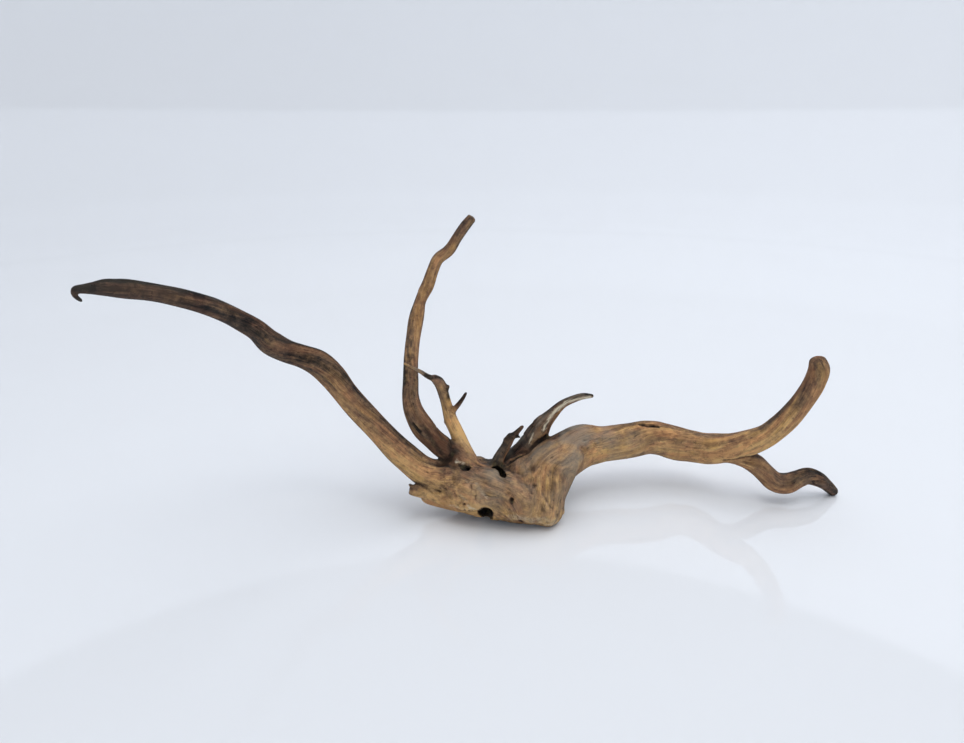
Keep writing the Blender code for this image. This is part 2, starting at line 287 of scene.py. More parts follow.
def line_frames(centres):
    """Distance along the line, and forward, side and up at each of its points."""
    steps = np.linalg.norm(np.diff(centres, axis=0), axis=1)
    along = np.concatenate([[0], np.cumsum(steps)])
    forward = unit(np.gradient(centres, axis=0))
    side = unit(np.cross(forward, (0.0, 1.0, 0.0)))
    return along, forward, side, np.cross(forward, side)


def tube(rings):
    """Points and outward faces of a closed tube through rows of ring points."""
    count, sides = rings.shape[:2]
    row = np.arange(count - 1)[:, None] * sides
    here = np.arange(sides)
    after = (here + 1) % sides
    walls = np.stack([row + here, row + after, row + sides + after, row + sides + here], -1)
    start = here[::-1].tolist()
    finish = (here + (count - 1) * sides).tolist()
    return rings.reshape(-1, 3), walls.reshape(-1, 4).tolist() + [start, finish]


def limb_surface(stations, sides, end_length, seed):
    """C(s) + r(s, a) (cos a side + sin a up), where r is the half thickness times 1 + swell + flutes.
    The swell has one lobe round the limb, the flutes have several and stay alike for a long way."""
    line = smooth_line(stations, RING_GAP)
    centres, radii = line[:, :3], line[:, 3] / 2
    along, forward, side, up = line_frames(centres)
    lift = np.radians(CAP_ANGLES)
    reach = end_length * np.sin(lift)[:, None]
    centres = np.concatenate([
        (centres[0] - reach * radii[0] * forward[0])[::-1],
        centres,
        centres[-1] + reach * radii[-1] * forward[-1],
    ])
    caps = len(CAP_ANGLES)
    radii = np.concatenate([(radii[0] * np.cos(lift))[::-1], radii, radii[-1] * np.cos(lift)])
    side, up, along = (
        np.concatenate([row[:1]] * caps + [row] + [row[-1:]] * caps) for row in (side, up, along))
    turn = np.linspace(0, 2 * np.pi, sides, endpoint=False)
    circle = np.stack(np.broadcast_arrays(along[:, None], np.cos(turn), np.sin(turn)), -1)
    swell = noise(circle * (1 / 30, 0.8, 0.8), seed)
    flutes = noise(circle * (1 / 110, 2.6, 2.6), seed + 50)
    reach = radii[:, None] * (1 + SWELL_SHARE * swell + FLUTE_SHARE * flutes)
    round_about = np.cos(turn)[:, None] * side[:, None] + np.sin(turn)[:, None] * up[:, None]
    return tube(centres[:, None] + reach[..., None] * round_about)


def lump_surface(x, y, z, half_x, half_y, half_z):
    """Ellipsoid: half sizes times (cos v cos u, cos v sin u, sin v), round its middle."""
    lift = np.radians(np.linspace(-84, 84, 25))[:, None]
    turn = np.linspace(0, 2 * np.pi, 48, endpoint=False)
    ball = np.stack([
        np.cos(lift) * np.cos(turn), np.cos(lift) * np.sin(turn), np.sin(lift) * np.ones_like(turn)], -1)
    return tube(ball * (half_x, half_y, half_z) + (x, y, z) + TO_BOX_CENTRE)


surfaces = [
    limb_surface(part["stations"], part["sides"], part["end"], seed)
    for seed, part in enumerate(LIMBS.values(), 1) if part["sides"]]
surfaces += [lump_surface(*lump) for lump in LUMPS]
print("skins:", len(surfaces), "with", sum(len(points) for points, _ in surfaces), "points")

# %% [markdown]
# ## Growing the limbs together
# Overlapping skins still show hard creases where they cross. A voxel remesh keeps only the outer skin,
# and smoothing then rounds the creases: strongly on the thick base, hardly at all on the thin twigs.
# The hollows are cut after that, and a second remesh gives their walls the same small even faces.

# %% Join, soften and carve
VOXEL = 0.8
SOFT_PASSES = 50
LAST_PASSES = 3
THIN_GIRTH, THICK_GIRTH = 12.0, 34.0
LEAST_SOFTENING = 0.04


def mesh_object(name, shells):
    """One object in metres from several lists of points and faces."""
    points, faces, first = [], [], 0
    for shell_points, shell_faces in shells:
        points.append(shell_points * MM)
        faces += [[first + corner for corner in face] for face in shell_faces]
        first += len(shell_points)
    mesh = bpy.data.meshes.new(name)
    mesh.from_pydata(np.concatenate(points), [], faces)
    thing = bpy.data.objects.new(name, mesh)
    bpy.context.scene.collection.objects.link(thing)
    return thing


def apply_modifier(thing, kind, **settings):
    """Add one modifier, set it, and keep its result as the object's mesh."""
    modifier = thing.modifiers.new(kind.lower(), kind)
    for name, value in settings.items():
        setattr(modifier, name, value)
    bpy.context.view_layer.update()
    seen = thing.evaluated_get(bpy.context.evaluated_depsgraph_get())
    mesh = bpy.data.meshes.new_from_object(seen)
    thing.modifiers.clear()
    thing.data = mesh


def get_points(mesh):
    """The mesh's points in millimetres, as rows."""
    flat = np.empty(len(mesh.vertices) * 3)
    mesh.vertices.foreach_get("co", flat)
    return flat.reshape(-1, 3) / MM


def set_points(mesh, points):
    mesh.vertices.foreach_set("co", (points * MM).ravel())
    mesh.update()


def nearest_rows(points, rows):
    """Index of the nearest row for each point: the least of |row|^2 - 2 point . row."""
    found = np.empty(len(points), int)
    length = (rows**2).sum(1)
    for start in range(0, len(points), 20000):
        chunk = points[start:start + 20000]
        found[start:start + 20000] = (length - 2 * chunk @ rows.T).argmin(1)
    return found


def girth_near(points):
    """Thickness of the limb whose skin is nearest to each point."""
    best = np.full(len(points), np.inf)
    girth = np.empty(len(points))
    for part in LIMBS.values():
        line = smooth_line(part["stations"], RING_GAP)
        row = nearest_rows(points, line[:, :3])
        depth = np.linalg.norm(points - line[row, :3], axis=1) - line[row, 3] / 2
        girth = np.where(depth < best, line[row, 3], girth)
        best = np.minimum(best, depth)
    return girth


def edge_rows(mesh):
    pairs = np.empty(len(mesh.edges) * 2, int)
    mesh.edges.foreach_get("vertices", pairs)
    return pairs.reshape(-1, 2)


def neighbour_mean(values, pairs):
    """Mean of each point's neighbours, along every edge both ways."""
    count = len(values)
    ends = np.concatenate([pairs[:, 0], pairs[:, 1]])
    others = np.concatenate([pairs[:, 1], pairs[:, 0]])
    share = 1 / np.maximum(np.bincount(ends, minlength=count), 1)
    return np.stack([np.bincount(ends, column[others], count) * share for column in values.T], -1)


def soften(mesh, passes, strength):
    """Move each point part of the way to its neighbours' mean, several times over."""
    points, pairs = get_points(mesh), edge_rows(mesh)
    for _ in range(passes):
        points += 0.5 * strength[:, None] * (neighbour_mean(points, pairs) - points)
    set_points(mesh, points)


def carve(root):
    """Cut the hollows and the worn flat spots, by a fast solver for closed meshes."""
    corners = [(x, y, z) for z in (-90, 0) for y in (-200, 200) for x in (-400, 400)]
    sides = [[0, 2, 3, 1], [4, 5, 7, 6], [0, 1, 5, 4], [2, 6, 7, 3], [0, 4, 6, 2], [1, 3, 7, 5]]
    cutters = [limb_surface(hollow, 24, 1.0, 90 + number) for number, hollow in enumerate(HOLLOWS)]
    cutters += [lump_surface(*UNDERSIDE), (np.array(corners, float), sides)]
    for shell in cutters:
        cutter = mesh_object("cutter", [shell])
        apply_modifier(root, "BOOLEAN", operation="DIFFERENCE", solver="MANIFOLD", object=cutter)
        bpy.data.objects.remove(cutter, do_unlink=True)


root = mesh_object("root_skin", surfaces)
apply_modifier(root, "REMESH", mode="VOXEL", voxel_size=VOXEL * MM)
girth = girth_near(get_points(root.data))
thickness = (girth - THIN_GIRTH) / (THICK_GIRTH - THIN_GIRTH)
soften(root.data, SOFT_PASSES, np.clip(thickness, LEAST_SOFTENING, 1))
carve(root)
apply_modifier(root, "REMESH", mode="VOXEL", voxel_size=VOXEL * MM)
soften(root.data, LAST_PASSES, np.ones(len(root.data.vertices)))
print("grown together:", len(root.data.polygons), "faces")

# %% [markdown]
# ## The way the grain runs
# Grain follows each limb, so the pattern needs a straightened copy of it. Each point learns which limb
# it belongs to, how far along it lies and where it lies across, slightly turned on the way because
# grain spirals. Between two limbs neither rule holds, and there a swirling pattern takes over.

# %% Grain field
TWIST_PER_MM = 0.011
LIMB_OFFSET = 137.0
SEAM = 6.0
BLEND = 2.5


def stops(values, fraction):
    """The value at a fraction of the way, between stops that are spread evenly."""
    return np.interp(fraction, np.linspace(0, 1, len(values)), values)


def grain_field(points):
    """Per point: grain place (along, across, across), share of the limb rule, girth, and the looks, which
    are a mean over the limbs with weight e^(-depth / BLEND), where depth is counted from each skin."""
    count = len(points)
    best, second = np.full(count, 1e3), np.full(count, 1e3)
    grain, girth, weights = np.zeros((count, 3)), np.zeros(count), np.zeros(count)
    looks = {name: np.zeros(count) for name in ("tone", "grey", "warm", "rough", "top")}
    for number, part in enumerate(LIMBS.values()):
        line = smooth_line(part["stations"], RING_GAP)
        centres, radii = line[:, :3], line[:, 3] / 2
        along, forward, side, up = line_frames(centres)
        row = nearest_rows(points, centres)
        offset = points - centres[row]
        place = along[row] + (offset * forward[row]).sum(1)
        right, high = (offset * side[row]).sum(1), (offset * up[row]).sum(1)
        turn = place * TWIST_PER_MM
        here = np.stack([
            place + number * LIMB_OFFSET,
            right * np.cos(turn) - high * np.sin(turn),
            right * np.sin(turn) + high * np.cos(turn),
        ], -1)
        fraction = place / along[-1]
        depth = np.linalg.norm(offset, axis=1) - radii[row] - stops(part["looks"]["grip"], fraction)
        closer = depth < best
        second = np.where(closer, best, np.minimum(second, depth))
        best = np.where(closer, depth, best)
        grain = np.where(closer[:, None], here, grain)
        girth = np.where(closer, line[row, 3], girth)
        weight = np.exp(-np.clip(depth, -25, 80) / BLEND)
        weights += weight
        for name in looks:
            looks[name] += weight * stops(part["looks"][name], fraction)
    share = smoothstep(0, SEAM, second - best)
    return grain, share, girth, {name: values / weights for name, values in looks.items()}


points = get_points(root.data)
grain, share, girth, looks = grain_field(points)
print("limb rule holds on", round(100 * float((share > 0.5).mean())), "% of the skin")

# %% [markdown]
# ## Furrows, cracks and knots
# Now the skin gets its relief: long furrows along the grain, a few open cracks, gnarls on the base and
# the named slits and creases that the photograph shows. All of it is a height in millimetres along
# the surface's own normal, so nothing is pushed sideways.

# %% Relief
GROOVES = [
    ([(-90.5, -1, 83.5), (-87.5, -2, 80.5), (-84.5, -3, 77)], 1.2, 2.2),
    ([(-80, -2, 80), (-76, -2, 73), (-73, -3, 66), (-67, -4, 58)], 1.6, 1.0),
    ([(115, 39, 65), (122, 37.5, 64.5), (131, 38, 63)], 1.3, 2.6),
    ([(188, 16, 39), (197, 14, 42), (205, 12, 45), (213, 13, 47)], 1.4, 1.6),
    ([(-6, -38, 31), (-4, -39, 26), (-2, -40, 19), (1, -38, 11), (3, -33, 3)], 1.3, 1.0),
    ([(-13, -22, 43), (-8, -34, 37), (-5, -39, 27), (-1, -39, 15), (2, -36, 5)], 6.0, 1.8),
    ([(-6, -38, 31), (-6, -37, 29)], 1.7, 4.0),
    ([(-11, 3, 43), (-2, 6, 45.5), (7, 12, 47.5), (17, 17, 54), (27, 23, 60)], 1.5, 3.0),
    ([(-57, 6, 65), (-56, 0, 61), (-56, -3, 57), (-58, -5, 52), (-62, -6, 49), (-68, -8, 49)], 2.8, 3.0),
    ([(30, -4, 53), (36, -2, 55)], 1.2, 0.8),
    ([(57, 14, 59), (64, 16, 61)], 1.2, 0.8),
    ([(4, -21, 40), (7, -27, 38), (11, -33, 34)], 1.4, 0.7),
    ([(16, -26, 37), (20, -32, 32), (25, -36, 25), (33, -36, 15)], 1.6, 0.9),
    ([(22, -40, 14), (32, -35, 13), (39, -27, 13)], 0.8, 0.7),
    ([(22, -40, 10), (32, -35, 9.5), (39, -27, 9)], 0.8, 0.7),
    ([(25, -39, 18), (33, -34, 17), (39, -27, 17)], 0.7, 0.5),
    ([(13, -26, 37), (15, -31, 33), (18, -36, 27), (21, -38, 21)], 2.4, 0.6),
    ([(27, -21, 46), (29, -29, 35), (31, -34, 24)], 2.6, 0.5),
    ([(0, -25, 41), (6, -25, 40), (5, -31, 36), (10, -32, 33)], 2.6, 0.4),
]
RIDGES = [
    ([(-49, -3, 52), (-38, -10, 46), (-26, -20, 43), (-14, -31, 38)], 4.5, 1.6),
    ([(-52, -8, 47), (-50, -20, 43), (-44, -31, 36), (-40, -36, 26)], 4.0, 1.5),
    ([(-62, -10, 44), (-60, -22, 36), (-54, -31, 27)], 3.5, 1.2),
    ([(-44, -36, 14), (-38, -38, 12), (-36, -38, 15)], 3.0, 1.6),
    ([(17, -22, 41), (17, -26, 38), (19, -34, 30), (23, -37, 23), (25, -38, 18)], 2.6, 1.3),
    ([(14, -22, 36), (12, -32, 26), (14, -38, 14)], 4.0, 0.6),
    ([(-10, 14, 61), (-8, 14, 63)], 2.4, 1.4),
    ([(-17, 3, 49), (-14, 8, 54)], 2.4, 0.8),
    ([(28, -14, 34), (26, -26, 22), (28, -33, 10)], 4.0, 0.6),
    ([(41, -25, 11), (42, -24, 10)], 2.5, 1.8),
    ([(-75, 90, 205), (-73, 90, 208)], 3.0, 1.2),
    ([(-90, 86, 180), (-89, 86, 183)], 3.0, 1.0),
    ([(16, 31, 73), (19, 31, 76)], 3.0, 1.3),
    ([(-284, -84, 227), (-282, -82, 227)], 3.5, 0.9),
]
GNARL_SPOT, GNARL_REACH, GNARL_HEIGHT = (-43, -31, 29), 20.0, 2.4
FURROW_DEPTH, FLUTE_DEPTH, CRACK_DEPTH = 0.55, 0.95, 1.0


def distance_to_path(points, path):
    """Distance from each point to a line through the path's points."""
    path = np.array(path, float) + TO_BOX_CENTRE
    nearest = np.full(len(points), np.inf)
    for start, end in zip(path[:-1], path[1:]):
        way = end - start
        t = np.clip((points - start) @ way / (way @ way), 0, 1)
        nearest = np.minimum(nearest, np.linalg.norm(points - start - t[:, None] * way, axis=1))
    return nearest


def relief(points, grain, share, girth, rough):
    """Height in millimetres: furrows and flutes along the grain, wrinkled gnarls where limbs meet, cracks,
    and h e^(-(distance / width)^2) for each groove and ridge."""
    size = np.clip(girth / 24, 0.15, 1) * rough
    warped = points + 5 * np.stack([noise(points / 17 + shift, 31) for shift in (0, 9, 18)], -1)
    swirl = 1 - share
    furrows = share * noise(grain / (50, 3.2, 3.2), 11) + 0.75 * swirl * noise(warped / (16, 4.5, 4.5), 12)
    flutes = share * noise(grain / (100, 8, 8), 13) + swirl * noise(warped / (26, 11, 11), 14)
    line = np.abs(share * noise(grain / (70, 5, 5), 15) + swirl * noise(warped / (30, 8, 8), 16))
    cracks = share * (1 - smoothstep(0.0, 0.08, line)) * smoothstep(0.0, 0.4, noise(points / 22, 17))
    thick = smoothstep(20, 38, girth)
    spot = np.linalg.norm(points - TO_BOX_CENTRE - GNARL_SPOT, axis=1)
    knobby = (1 - smoothstep(0.5 * GNARL_REACH, GNARL_REACH, spot))
    knobs = np.sqrt(noise(warped / 5, 19) ** 2 + 0.015)
    height = size * (FURROW_DEPTH * furrows + FLUTE_DEPTH * flutes - CRACK_DEPTH * cracks)
    height += thick * rough * (0.7 * noise(points / 13, 18) + 0.3 * knobs) + knobby * GNARL_HEIGHT * knobs
    for path, width, depth in GROOVES:
        height -= depth * np.exp(-((distance_to_path(points, path) / width) ** 2))
    for path, width, rise in RIDGES:
        height += rise * np.exp(-((distance_to_path(points, path) / width) ** 2))
    return height


def get_normals(mesh):
    flat = np.empty(len(mesh.vertices) * 3)
    mesh.vertices.foreach_get("normal", flat)
    return flat.reshape(-1, 3)


height = relief(points, grain, share, girth, looks["rough"])
raised = points + height[:, None] * get_normals(root.data)
raised[:, 2] = np.maximum(raised[:, 2], 0)
set_points(root.data, raised)
print("relief, mm:", round(float(height.min()), 1), "to", round(float(height.max()), 1))

# %% [markdown]
# ## Fewer faces where the skin is calm
# The even skin has more than twice the triangles that one piece may keep. Collapsing edges where the
# surface is nearly flat leaves the furrows and slits as fine as they were.

# %% Thin out
MOST_TRIANGLES = 196000
root.data.calc_loop_triangles()
before = len(root.data.loop_triangles)
apply_modifier(root, "DECIMATE", ratio=min(1.0, MOST_TRIANGLES / before))
root.data.shade_smooth()
root.data.calc_loop_triangles()
print("triangles:", before, "to", len(root.data.loop_triangles))

# %% [markdown]
# ## What the surface remembers
# The material needs to know where it is on the root. Each fact becomes one attribute of the mesh:
# the grain place, the share of the limb rule, tone, grey, warm, how streaky the wood is, the cream
# strokes of pale wood and painted highlights, the dark strokes and hollow walls of dark wood and
# painted shade, and the dirt and painted shade in every furrow, which is found by asking how far a
# point lies below its neighbours. Tone is painted darker where the skin turns side-on to the front,
# as shade, and paler on the crests, as wear and painted highlight.

# %% Attributes
# Painted shade: tone is darker where the skin turns side-on to this front way, by the amount below.
SIDE_SHADE_FRONT = np.array([0.0, -0.94, 0.34])
SIDE_SHADE_DEPTH = 0.28
WORN_AND_LIT_CRESTS = 0.16
FINE_HOLLOW, BROAD_HOLLOW = 0.14, 1.2
CALM_SPOT, CALM_REACH = (34, 2, 52), 28.0
STREAKY_GIRTHS, STREAKY_SHARES = (12, 24, 34, 45), (0.9, 0.75, 0.52, 0.45)
# The first three strokes are pale split wood and flakes; the rest are painted highlights on ridges, knobs,
# rim and lip of the base.
CREAM_AND_HIGHLIGHT_STROKES = [
    ([(24, 22, 67), (28, 25, 74), (33, 27, 81), (39, 29, 86), (46, 30, 91), (61, 31, 94), (66, 32, 94.5)],
     1.5, 1),
    ([(12, 19, 55), (15, 22, 63)], 1.0, 0.7),
    ([(-53, -6.5, 49.5), (-50, -6.5, 50), (-47, -7.5, 48.7)], 1.5, 1),
    ([(17, -23, 40), (19, -34, 30), (23, -37, 23)], 1.5, 0.35),
    ([(-45, -22, 40), (-41, -28, 36), (-39, -32, 29)], 1.6, 0.24),
    ([(-36, -27, 40), (-31, -32, 35), (-27, -35, 31)], 1.6, 0.2),
    ([(-53, -23, 35), (-50, -27, 31), (-44, -32, 26)], 1.5, 0.25),
    ([(-60, -24, 18), (-45, -31, 18), (-37, -33, 17)], 1.4, 0.4),
    ([(-43, -33, 21), (-38, -34, 19), (-34, -34, 17)], 2.0, 0.7),
    ([(-12, -38, 10), (0, -40, 8), (14, -40, 6), (26, -37, 5), (34, -31, 6)], 2.2, 0.45),
    ([(-5, -39, 15), (9, -40, 13), (20, -39, 11), (30, -35, 10)], 4.0, 0.3),
]
# Mostly painted shade in crevices, slits, cracks, holes and the crotch of the upright, and dark wood in a
# few streaks and broken ends.
DARK_AND_SHADE_STROKES = [
    ([(-13, 2, 42), (-2, 6, 45), (6, 12, 46.5), (17, 17, 54), (28, 24, 60)], 2.1, 1),
    ([(-20, 0, 42.5), (-13, 0, 40.5)], 3.2, 0.9),
    ([(-19, 3, 43), (-14, 3, 42), (-12, 0, 40)], 3.2, 0.85),
    ([(-102, 46, 122), (-101, 39, 118), (-101, 34, 114), (-100, 28, 110)], 3.4, 0.95),
    ([(-58, 4, 65), (-57, 0, 61), (-57, -3, 57), (-59, -5, 53)], 2.6, 0.85),
    ([(-60, -6, 50), (-65, -7, 49), (-70, -8, 50)], 1.5, 0.7),
    ([(-59, 0, 62), (-59, -1, 59)], 3.4, 0.6),
    ([(0, -25, 41), (6, -25, 40), (5, -31, 36), (10, -32, 33)], 2.2, 0.14),
    ([(13, -26, 37), (15, -31, 33), (18, -36, 27), (21, -38, 21)], 2.0, 0.14),
    ([(27, -21, 46), (29, -29, 35), (31, -34, 24)], 2.4, 0.12),
    ([(29, -9, 55), (31, -8, 55)], 1.1, 0.6),
    ([(-75, 17, 119), (-79, 15, 121.5)], 3.6, 0.95),
    ([(63, 33, 98), (68, 34, 97.5), (72, 34, 96)], 2.3, 0.9),
    ([(-82, -2, 82), (-76, -2, 73), (-73, -3, 66), (-67, -4, 58), (-61, -5, 51)], 2.6, 0.6),
    ([(-74, 3, 80), (-70, 4, 75), (-67, 1, 69), (-62, 2, 64)], 1.8, 0.5),
    ([(-90.5, -1, 83.5), (-84.5, -3, 77)], 1.9, 1),
    ([(-72, 21, 118), (-67, 24, 117), (-62, 26, 112), (-61, 26, 106), (-60, 24, 98)], 2.6, 0.95),
    ([(115, 39, 64.5), (122, 37.5, 64), (131, 38, 62.5)], 2.3, 1),
    ([(188, 16, 39), (197, 14, 42), (205, 12, 45), (213, 13, 47)], 1.0, 0.9),
    ([(-6, -37, 31), (-6, -37, 29)], 1.9, 1),
]
# Soft patches of tone. The first two, at the foot of the upright by the front twig, are painted shade in the
# crotch.
STAIN_AND_SHADE_PATCHES = [
    (-60, -3, 54, 13, -0.3), (-59, 0, 60, 7, -0.4), (-74, -2, 68, 12, -0.2), (40, 6, 56, 22, 0.06),
    (-24, -14, 44, 13, 0.06), (-80, -18, 26, 10, 0.14), (52, 20, 63, 15, -0.28), (85, 25, 52, 14, 0.15),
    (-64, -20, 36, 12, -0.1), (20, -8, 48, 14, 0.08),
    (24, -36, 8, 16, 0.21), (-34, -34, 14, 10, 0.2), (-43, -31, 29, 16, 0.17), (-98, 2, 66, 16, -0.1),
    (12, -15, 42, 8, 0.15),
]


def stroke(points, strokes):
    """1 on each path, falling to 0 just past its width, with a ragged edge."""
    cover = np.zeros(len(points))
    ragged = 1 + 0.5 * noise(points / 3.5, 43)
    for path, width, strength in strokes:
        distance = distance_to_path(points, path) * ragged
        cover = np.maximum(cover, strength * (1 - smoothstep(0.5 * width, 1.25 * width, distance)))
    return cover


def stain_and_shade(points):
    """Sum of soft round patches, each a change of tone times e^(-(distance / reach)^2)."""
    change = np.zeros(len(points))
    for x, y, z, reach, tone in STAIN_AND_SHADE_PATCHES:
        distance = np.linalg.norm(points - TO_BOX_CENTRE - (x, y, z), axis=1)
        change += tone * np.exp(-((distance / reach) ** 2))
    return change


# Painted shade: the walls of the carved hollows are coloured dark.
def hollow_shade_cover(points):
    """1 on the walls of the carved hollows, 0 from a millimetre outside them."""
    cover = np.zeros(len(points))
    for hollow in HOLLOWS:
        line = smooth_line(hollow, RING_GAP)
        row = nearest_rows(points, line[:, :3])
        depth = np.linalg.norm(points - line[row, :3], axis=1) - line[row, 3] / 2
        cover = np.maximum(cover, 1 - smoothstep(0.2, 1.0, depth))
    return cover


def store(mesh, name, values, kind="FLOAT"):
    attribute = mesh.attributes.new(name, kind, "POINT")
    field = "vector" if kind == "FLOAT_VECTOR" else "value"
    attribute.data.foreach_set(field, values.ravel().astype(np.float32))


def hollow_depth(points, normals, pairs, passes):
    """How far the neighbours' mean lies above each point along its normal, in millimetres."""
    around = points
    for _ in range(passes):
        around = neighbour_mean(around, pairs)
    return ((around - points) * normals).sum(1)


points, normals, pairs = get_points(root.data), get_normals(root.data), edge_rows(root.data)
grain, share, girth, looks = grain_field(points)
# Dirt and painted shade: a point lying below its neighbours gets darker, in fine furrows and in broad
# creases between limbs.
dirt_and_shade = hollow_depth(points, normals, pairs, 3) / FINE_HOLLOW
dirt_and_shade = dirt_and_shade + hollow_depth(points, normals, pairs, 12) / BROAD_HOLLOW
for _ in range(2):
    dirt_and_shade = neighbour_mean(dirt_and_shade[:, None], pairs)[:, 0]
upper = smoothstep(-0.2, 0.6, normals[:, 2] + 0.35 * noise(points / (20, 9, 9), 41))
# Painted shade on the sides of the limbs, where the skin turns away from the front way.
side_shade = 1 - smoothstep(0.1, 0.75, np.abs(normals @ SIDE_SHADE_FRONT) + 0.15 * noise(points / 6, 42))
store(root.data, "grain", grain, "FLOAT_VECTOR")
store(root.data, "share", share)
# Wear and painted highlight: crests that stand above their neighbours are paler.
worn = WORN_AND_LIT_CRESTS * smoothstep(0.2, 1.3, -dirt_and_shade)
# Tone: the limb's own, darker on upper sides, with painted shade on the sides, paler crests from wear and
# painted highlight, and soft patches, some of them painted shade.
store(root.data, "tone", looks["tone"] - looks["top"] * upper - SIDE_SHADE_DEPTH * side_shade + worn + stain_and_shade(points))
calm = np.exp(-((np.linalg.norm(points - TO_BOX_CENTRE - CALM_SPOT, axis=1) / CALM_REACH) ** 2))
streaky = np.interp(girth, STREAKY_GIRTHS, STREAKY_SHARES) * (0.6 + 0.4 * share) * (1 - 0.5 * calm)
store(root.data, "streaky", streaky)
store(root.data, "grey", looks["grey"])
store(root.data, "warm", looks["warm"])
store(root.data, "cream", stroke(points, CREAM_AND_HIGHLIGHT_STROKES))
store(root.data, "dark", np.maximum(stroke(points, DARK_AND_SHADE_STROKES), hollow_shade_cover(points)))
store(root.data, "dirt_and_shade", dirt_and_shade)
print("dirt:", np.percentile(dirt_and_shade, [1, 50, 99]).round(2))

# %% [markdown]
# ## Writing a material as a formula
# A node tree is hard to read, so a small class wraps one socket and lets Python write the sums. An
# expression such as 1 - mask adds its Math node by itself, and every other node comes from one method.

# %% Shader helper


class Socket:
    """An output socket that can be used in sums."""

    def __init__(self, tree, socket):
        self.tree, self.socket = tree, socket

    def node(self, kind, settings=None, inputs=None, output=0):
        """Add a node, set it, and fill its inputs with numbers or other sockets."""
        made = self.tree.nodes.new(kind)
        for name, value in (settings or {}).items():
            setattr(made, name, value)
        for name, value in (inputs or {}).items():
            if isinstance(value, Socket):
                self.tree.links.new(value.socket, made.inputs[name])
            else:
                made.inputs[name].default_value = value
        return Socket(self.tree, made.outputs[output])

    def math(self, operation, other=0.0):
        return self.node("ShaderNodeMath", {"operation": operation}, {0: self, 1: other})

    def __add__(self, other):
        return self.math("ADD", other)

    def __mul__(self, other):
        return self.math("MULTIPLY", other)

    def __sub__(self, other):
        return self.math("SUBTRACT", other)

    def __rsub__(self, other):
        return (self * -1.0) + other

    __radd__ = __add__
    __rmul__ = __mul__

    def clipped(self):
        return self.node("ShaderNodeClamp", inputs={0: self})

    def step(self, low, high):
        """0 below low, 1 above high, smooth between."""
        return self.node(
            "ShaderNodeMapRange", {"interpolation_type": "SMOOTHSTEP"},
            {"Value": self, "From Min": low, "From Max": high})

    def scaled(self, factors):
        """A vector times a fixed vector."""
        return self.node("ShaderNodeVectorMath", {"operation": "MULTIPLY"}, {0: self, 1: factors})

    def noise(self, factors, detail=2.0, roughness=0.5):
        """Noise of this vector times the factors, 0 to 1."""
        return self.node(
            "ShaderNodeTexNoise", {"noise_dimensions": "3D"},
            {"Vector": self.scaled(factors), "Scale": 1.0, "Detail": detail, "Roughness": roughness})

    def mix(self, first, second, blend="MIX"):
        """Two colours, mixed by this factor, or the first one multiplied by the second."""
        return self.node(
            "ShaderNodeMix", {"data_type": "RGBA", "blend_type": blend},
            {0: self, 6: first, 7: second}, output=2)


def colour(red, green, blue):
    """A screen colour of 0 to 255 as the linear colour that shaders use."""
    share = np.array([red, green, blue]) / 255
    linear = np.where(share <= 0.04045, share / 12.92, ((share + 0.055) / 1.055) ** 2.4)
    return (*linear.tolist(), 1.0)


print("helper ready; mid grey is", round(colour(128, 128, 128)[0], 3))

# %% [markdown]
# ## Weathered wood
# Bare wood that lay in water has no gloss. Its colour runs in fine streaks along the grain, from gold
# over tan to nearly black, with grey where it weathered. The roughness stays high and the bump carries
# the fibres that are too fine for the mesh.

# %% Wood material
NEARLY_BLACK = colour(27, 24, 23)
DARK_BROWN = colour(76, 60, 49)
BROWN = colour(121, 95, 72)
TAN = colour(168, 133, 93)
GOLD = colour(222, 179, 120)
WEATHER_GREY = colour(148, 139, 124)
RUST = colour(160, 108, 74)
CREAM = colour(226, 214, 188)
DIRT_AND_SHADE = colour(49, 38, 31)
MOSS = colour(66, 62, 44)
PINKISH = (1.0, 0.89, 0.91, 1.0)
OLIVE = (0.97, 0.95, 0.83, 1.0)


